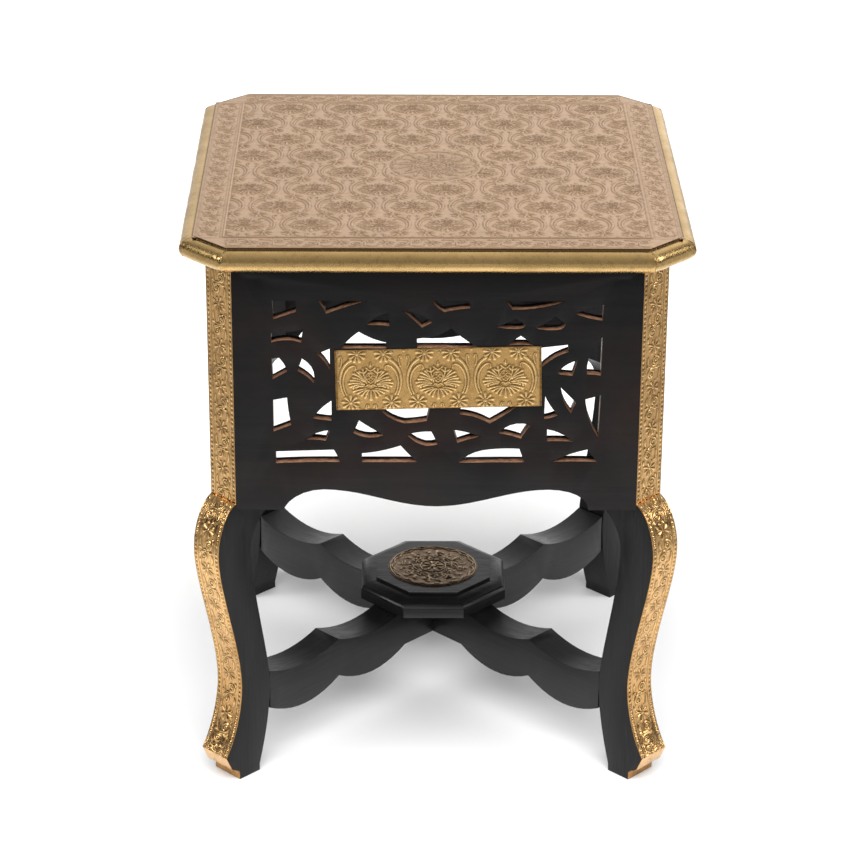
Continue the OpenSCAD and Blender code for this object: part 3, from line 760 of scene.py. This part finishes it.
def make_edge():
    """Eight lengths of sheet rolled over the edge, dented a little and crumpled at the folds."""
    lengths = []
    for k, side in enumerate(SIDES):
        lengths.append(("edge_" + side, FLAT - CORNER_CUT, FLAT, 90 * k))
    for k, corner in enumerate(CORNERS):
        lengths.append(("edge_corner_" + corner, CORNER_CUT / math.sqrt(2),
                        (2 * FLAT - CORNER_CUT) / math.sqrt(2), 90 * k + 45))
    for node, half, dist, spin in lengths:
        bm = bmesh.new()
        painted_gap_shade = bm.verts.layers.float.new("painted_gap_shade")
        count = max(40, round(2 * half / 1.2))
        bmesh.ops.create_grid(bm, x_segments=count, y_segments=48, size=0.5)
        for v in bm.verts:
            u, t = v.co.x * 2, v.co.y + 0.5
            out, up, nx, nz = edge_path(t)
            reach = half + out * MITRE
            near_fold = max(0.0, 1 - (1 - abs(u)) * reach / 8.0)
            x = u * reach
            dent = 0.12 * (1 + waves(x, spin, 40 * t, 9.0))
            fold = waves(x * 7, spin * 3, 190 * t, 9.0)
            belly = math.sin(math.pi * min(1.0, max(0.0, (t - 0.08) * 1.1)))
            belly = min(1.0, 3 * belly)
            sink = (dent + 0.45 * near_fold * (1 + fold)) * belly
            # painted shade in the gap below the top sheet's edge, strongest on the drop and gone about a
            # tenth of the way round
            v[painted_gap_shade] = float(np.clip(1.35 - 14 * t, 0.0, 0.92))
            v.co = (x, -(dist + out - nx * sink), up - nz * sink)
        bmesh.ops.transform(bm, verts=bm.verts,
                            matrix=Matrix.Rotation(math.radians(spin), 4, "Z"))
        skin = to_object(bm, node + "_skin", edge_brass, [node], 50)
        wall = skin.modifiers.new("wall", "SOLIDIFY")
        wall.thickness = 0.5 * MM
        wall.offset = -1.0


# ---- Plates, strips and tacks ----------------------------------------------

PLATE_W, PLATE_H = 153.0, 48.3
PLATE_TILT = (1.4, 0.5, -0.6, -0.4)
PLATE_MID = ((low_high("plate_front")[0] + low_high("plate_front")[1]) / 2)
PLATE_LOTUS = (-0.3, -6.9)                          # foot of the middle lotus from its centre


def plate_pattern(u, v):
    """A row of lotuses, worn away towards the plate's ends and rails."""
    relief, hollow = lotus_die.at(u - PLATE_LOTUS[0], v - PLATE_LOTUS[1])
    ends, rails = PLATE_W / 2 - np.abs(u), PLATE_H / 2 - np.abs(v)
    edge = np.minimum(ends, rails)
    relief, hollow = flattened(relief, hollow, smooth(edge / 1.6))
    rim = np.maximum(0.5 * smooth(1 - rails / 1.6), 0.9 * smooth(1 - ends / 3.0))
    return relief + 0.2 + 0.1 * waves(u, v, 0.0, 14.0), np.maximum(hollow, rim)


def make_plates():
    for k, side in enumerate(SIDES):
        tilt, spin = math.radians(PLATE_TILT[k]), 90 * k

        def wrap(u, v, h, tilt=tilt, spin=spin):
            c, s = math.cos(tilt), math.sin(tilt)
            points = np.stack([PLATE_MID[0] + u * c - v * s, -FACE - 0.45 - h,
                               PLATE_MID[2] + u * s + v * c], 1)
            return turned(points, spin)

        pressed_sheet(f"plate_{side}_sheet", (-PLATE_W / 2, -PLATE_H / 2),
                      (PLATE_W / 2, PLATE_H / 2), 0.5, plate_pattern, 0.6, 0.4, wrap,
                      plate_brass, ["plate_" + side])


KNEE_TOP, KNEE, ANKLE, TOE = (POST_OUT, 240.0), (247.0, 200.0), (226.3, 82.0), (244.0, 24.0)
TOE_UNDER = (238.6, 11.9)
FOOT_OUT, FOOT_TOP, FOOT_GAP = 230.6, 6.2, 0.5
LEG_CURVE = np.concatenate([
    bezier((KNEE_TOP, (238, 236), (247, 218), KNEE), 40)[:-1],
    bezier((KNEE, (247, 170), (226.5, 118), ANKLE), 60)[:-1],
    bezier((ANKLE, (226.3, 62), (234, 38), TOE), 40)])
TOE_CURVE = np.concatenate([
    bezier((TOE, (243.2, 22.0), (240.0, 15.0), TOE_UNDER), 12)[:-1],
    bezier((TOE_UNDER, (237.0, 10.0), (230.9, 8.6), (FOOT_OUT, FOOT_TOP)), 14)[:-1],
    bezier(((FOOT_OUT, FOOT_TOP), (FOOT_OUT, 3.0), (FOOT_OUT, FOOT_GAP)), 6)])


class Path:
    """A curve in distance out and height, met by the length along it."""

    def __init__(self, points):
        self.points = points
        steps = np.hypot(*np.diff(points, axis=0).T)
        self.at = np.concatenate([[0.0], np.cumsum(steps)])
        self.length = self.at[-1]
        slope = np.gradient(points, self.at, axis=0)
        slope /= np.hypot(slope[:, 0], slope[:, 1])[:, None]
        self.normal = np.stack([-slope[:, 1], slope[:, 0]], 1)

    def place(self, s, lift):
        out, up = (np.interp(s, self.at, self.points[:, k]) for k in (0, 1))
        nx, nz = (np.interp(s, self.at, self.normal[:, k]) for k in (0, 1))
        return out + nx * lift, up + nz * lift


leg_path = Path(LEG_CURVE)
toe_path = Path(TOE_CURVE)
post_path = Path(np.array([(POST_OUT, BOARD_LOW), (POST_OUT, POST_LOW)]))


def make_strips():
    """The post strip, leg strip and toe cap of each corner."""
    def wrapper(path, turn):
        def wrap(across, along, h):
            out, up = path.place(along, h - 0.15)
            return turned(np.stack([out, across, up], 1), turn)
        return wrap

    half = LEG_T / 2
    for k, corner in enumerate(CORNERS):
        turn = -45 + 90 * k
        shift = 11.0 * k
        jobs = (("post_strip_", post_path, 0.0), ("leg_strip_", leg_path, 6.0),
                ("toe_cap_", toe_path, 15.0))
        for node, path, start in jobs:
            def pattern(across, along, start=start + shift, path=path):
                relief, hollow = strip_pattern(across, along + start, half)
                if path is toe_path:
                    worn = 0.45 * smooth(along / 9.0 - 1.0)
                    return relief * 0.25, np.maximum(0.2 * hollow, worn)
                return flattened(relief, hollow, smooth(np.minimum(along, path.length - along)))

            pressed_sheet(node + corner + "_sheet", (-half, 0), (half, path.length), 0.5, pattern,
                          0.65, 0.4, wrapper(path, turn), strip_brass, [node + corner])


def tack_group(name, node, places):
    """All the tacks of one node as one piece."""
    single = bmesh.new()
    outline = ((0.0, 0.62), (0.55, 0.52), (1.0, 0.28), (1.22, 0.0), (0.45, -0.05), (0.4, -4.0),
               (0.0, -5.0))
    verts = [single.verts.new((x, 0, z)) for x, z in outline]
    edges = [single.edges.new(pair) for pair in zip(verts[:-1], verts[1:])]
    bmesh.ops.spin(single, geom=verts + edges, cent=(0, 0, 0), axis=(0, 0, 1),
                   angle=2 * math.pi, steps=9, use_merge=True)
    bmesh.ops.remove_doubles(single, verts=single.verts, dist=1e-4)
    shape = bpy.data.meshes.new("tack_shape")
    single.to_mesh(shape)
    single.free()
    bm = bmesh.new()
    for place in places:
        first = len(bm.verts)
        bm.from_mesh(shape)
        bm.verts.ensure_lookup_table()
        bmesh.ops.transform(bm, verts=bm.verts[first:], matrix=place)
    bpy.data.meshes.remove(shape)
    return to_object(bm, name, tack_metal, [node], 60)


TACK_EDGE = 2.4
POST_TACKS = (256, 300, 343, 386, 424)
LEG_TACKS = (7.2, 41.1, 96.2, 144.8, 185.4, 217.0)


def facing(normal, at, turn):
    """A place whose +Z looks along normal, turned about the vertical axis."""
    aim = Vector((0, 0, 1)).rotation_difference(Vector(normal)).to_matrix().to_4x4()
    return Matrix.Rotation(math.radians(turn), 4, "Z") @ Matrix.Translation(at) @ aim


def make_tacks():
    u_end, v_end = PLATE_W / 2 - TACK_EDGE, PLATE_H / 2 - TACK_EDGE
    spots = [(u, v_end) for u in (-u_end, -34, 1, 36, u_end)]
    spots += [(u, -v_end) for u in (-u_end, -40, -5, 35, u_end)]
    spots += [(-u_end, 0), (u_end, 0)]
    for k, side in enumerate(SIDES):
        c, s = math.cos(math.radians(PLATE_TILT[k])), math.sin(math.radians(PLATE_TILT[k]))
        places = [facing((0, -1, 0), (PLATE_MID[0] + u * c - v * s, -FACE - 0.6,
                                      PLATE_MID[2] + u * s + v * c), 90 * k) for u, v in spots]
        tack_group(f"plate_{side}_tack_heads", "plate_tacks_" + side, places)
    for k, corner in enumerate(CORNERS):
        places = []
        for hand in (1, -1):
            across = hand * (LEG_T / 2 - TACK_EDGE)
            for z in POST_TACKS:
                places.append(facing((1, 0, 0), (POST_OUT + 0.1, across, z), -45 + 90 * k))
            for s in LEG_TACKS:
                out, up = leg_path.place(s, 0.1)
                nx, nz = (np.interp(s, leg_path.at, leg_path.normal[:, j]) for j in (0, 1))
                places.append(facing((nx, 0, nz), (out, across, up), -45 + 90 * k))
        tack_group(f"strip_{corner}_tack_heads", "strip_tacks_" + corner, places)


# ---- Plinth medallion ------------------------------------------------------

def make_medallion():
    """A hand-cut disc of stamped brass with an uneven rim."""
    low, high = low_high("plinth_medallion")
    radius = (high[0] - low[0]) / 2
    bm = bmesh.new()
    bmesh.ops.create_circle(bm, cap_ends=True, radius=radius, segments=96)
    face = bm.faces[:]
    rings = 74
    for k in range(rings):
        bmesh.ops.inset_individual(bm, faces=face, thickness=radius / rings * 0.985, depth=0)
    rim = [e for e in bm.edges if e.is_boundary]
    skirt = bmesh.ops.extrude_edge_only(bm, edges=rim)["geom"]
    bmesh.ops.translate(bm, verts=[v for v in skirt if isinstance(v, bmesh.types.BMVert)],
                        vec=(0, 0, -0.4))
    bmesh.ops.edgeloop_fill(bm, edges=[e for e in bm.edges if e.is_boundary])
    bmesh.ops.recalc_face_normals(bm, faces=bm.faces)
    for f in bm.faces:
        f.smooth = True
    mesh = bpy.data.meshes.new("plinth_medallion_sheet")
    bm.to_mesh(mesh)
    bm.free()
    x, y, z = corner_rows(mesh).T
    far = np.hypot(x, y)
    relief, hollow = medal_die.at(x, y)
    on_face = z > -0.2
    relief = np.where(on_face, relief, 0) * smooth((radius - far) / 1.0)
    hollow = np.where(on_face, np.maximum(hollow, 0.3 * (1 - relief)), 0.8)
    ragged = 1 + 0.006 * waves(x, y, z * 0, 3.0) * smooth(far / radius * 2 - 1) - 0.006
    z = low[2] + 0.45 + z + 0.8 * relief + 0.15 * waves(x, y, z * 0, 8.0)
    press(mesh, np.stack([x * ragged, y * ragged, z], 1), relief, hollow)
    mesh_object(mesh, "plinth_medallion_sheet", medal_brass, ["plinth_medallion"],
                70)


# ---- Camera, floor and light -----------------------------------------------

def make_camera():
    """Stands in front and above, looking down on the front and the top."""
    yaw, pitch, roll = 0.012, 0.4248, 0.007
    ahead = Vector((math.sin(yaw) * math.cos(pitch), math.cos(yaw) * math.cos(pitch),
                    -math.sin(pitch)))
    right = Vector((math.cos(yaw), -math.sin(yaw), 0))
    up = right.cross(ahead)
    level, tall = (math.cos(roll) * right + math.sin(roll) * up,
                   math.cos(roll) * up - math.sin(roll) * right)
    data = bpy.data.cameras.new("camera")
    data.sensor_width = 36.0
    data.lens = 125.19
    data.clip_end = 50.0
    camera = bpy.data.objects.new("camera", data)
    turn = Matrix((level, tall, -ahead)).transposed().to_4x4()
    camera.matrix_world = Matrix.Translation(Vector((-27.4, -2222.0, 1226.7)) * MM) @ turn
    bpy.context.scene.collection.objects.link(camera)
    bpy.context.scene.camera = camera


def make_floor():
    """A wide white floor, greyer beyond a metre to the sides and the front: painted shade standing for the
    studio light falling off away from the table.
    """
    bm = bmesh.new()
    bmesh.ops.create_grid(bm, x_segments=1, y_segments=1, size=12.0)
    mesh = bpy.data.meshes.new("floor")
    bm.to_mesh(mesh)
    bm.free()
    f = Finish("floor_white")
    split = f.tree.nodes.new("ShaderNodeSeparateXYZ")
    f.tree.links.new(f.place, split.inputs[0])
    ahead = f.math("MINIMUM", split.outputs[1], 0.0)
    behind = f.math("MULTIPLY", f.math("MAXIMUM", split.outputs[1], 0.0), 0.12)
    far = f.math("SQRT", f.math("ADD", f.math("POWER", split.outputs[0], 2.0),
                                f.math("POWER", ahead, 2.0)))
    far = f.math("SUBTRACT", far, behind)
    # painted shade: the floor's colour falls from white to grey with distance to the sides and the front,
    # less so behind
    tone = f.mix(f.span(far, 0.4, 0.85), rgb(0.88, 0.88, 0.88), rgb(0.33, 0.33, 0.33))
    mesh.materials.append(f.finish(tone, 0.9, 0.0, Specular_IOR_Level=0.1))
    floor = bpy.data.objects.new("floor", mesh)
    bpy.context.scene.collection.objects.link(floor)


class Sky:
    """The room's brightness by direction, built from shader nodes."""

    def __init__(self):
        world = bpy.data.worlds.new("studio")
        world.use_nodes = True
        self.tree = world.node_tree
        self.tree.nodes.clear()
        place = self.tree.nodes.new("ShaderNodeTexCoord")
        self.way = place.outputs["Generated"]
        bpy.context.scene.world = world

    def add(self, kind, *inputs, **settings):
        node = self.tree.nodes.new(kind)
        for key, value in settings.items():
            setattr(node, key, value)
        for k, value in enumerate(inputs):
            if isinstance(value, bpy.types.NodeSocket):
                self.tree.links.new(value, node.inputs[k])
            else:
                node.inputs[k].default_value = value
        return node

    def towards(self, aim):
        """How nearly a direction looks along aim, 1 being straight at it."""
        aim = Vector(aim).normalized()
        return self.add("ShaderNodeVectorMath", self.way, aim, operation="DOT_PRODUCT").outputs["Value"]

    def step(self, value, low, high, to_low=0.0, to_high=1.0):
        return self.add("ShaderNodeMapRange", value, low, high, to_low, to_high).outputs[0]

    def join(self, how, a, b):
        return self.add("ShaderNodeMath", a, b, operation=how).outputs[0]

    def finish(self, strength):
        glow = self.add("ShaderNodeBackground", rgb(1.0, 1.0, 1.0), strength)
        out = self.tree.nodes.new("ShaderNodeOutputWorld")
        self.tree.links.new(glow.outputs[0], out.inputs[0])


FRONT_GLOW, BEHIND_GLOW = 0.26, 0.9
BESIDE_GLOW = 0.12                                  # share of that left far to the sides
SIDE_LAMPS = (-0.82, -0.22, 0.56), (0.84, -0.15, 0.52)
LAMP_GLOW = 8.0
SUN_LEAN = 0.55                                     # radians from overhead, towards the front


def make_light():
    """A room bright behind and dimmer in front, dark at the sides but for two small lamps."""
    sky = Sky()
    beside = sky.join("ABSOLUTE", sky.towards((1, 0, 0)), 0.0)
    bright = sky.step(sky.towards((0, 1, 0)), -1.0, 1.0, FRONT_GLOW, BEHIND_GLOW)
    bright = sky.join("MULTIPLY", bright, sky.step(beside, 0.35, 0.8, 1.0, BESIDE_GLOW))
    bright = sky.join("MULTIPLY", bright, sky.step(sky.towards((1, 0, 0)), -0.3, 0.3, 0.8, 1.3))
    bright = sky.join("MULTIPLY", bright, sky.step(sky.towards((0, 0, 1)), 0.3, 0.5, 1.12, 1.0))
    for aim in SIDE_LAMPS:
        bright = sky.join("ADD", bright, sky.step(sky.towards(aim), 0.976, 0.984, 0.0, LAMP_GLOW))
    sky.finish(bright)
    data = bpy.data.lights.new("overhead", "SUN")
    data.energy = 3.6
    data.angle = 1.0
    lamp = bpy.data.objects.new("overhead", data)
    lamp.rotation_euler = (SUN_LEAN, 0.0, 0.0)
    lamp.visible_glossy = False
    bpy.context.scene.collection.objects.link(lamp)


make_camera()
make_floor()
make_light()
make_wood()
make_top()
make_edge()
make_plates()
make_strips()
make_tacks()
make_medallion()
bpy.context.scene.view_settings.view_transform = "Standard"
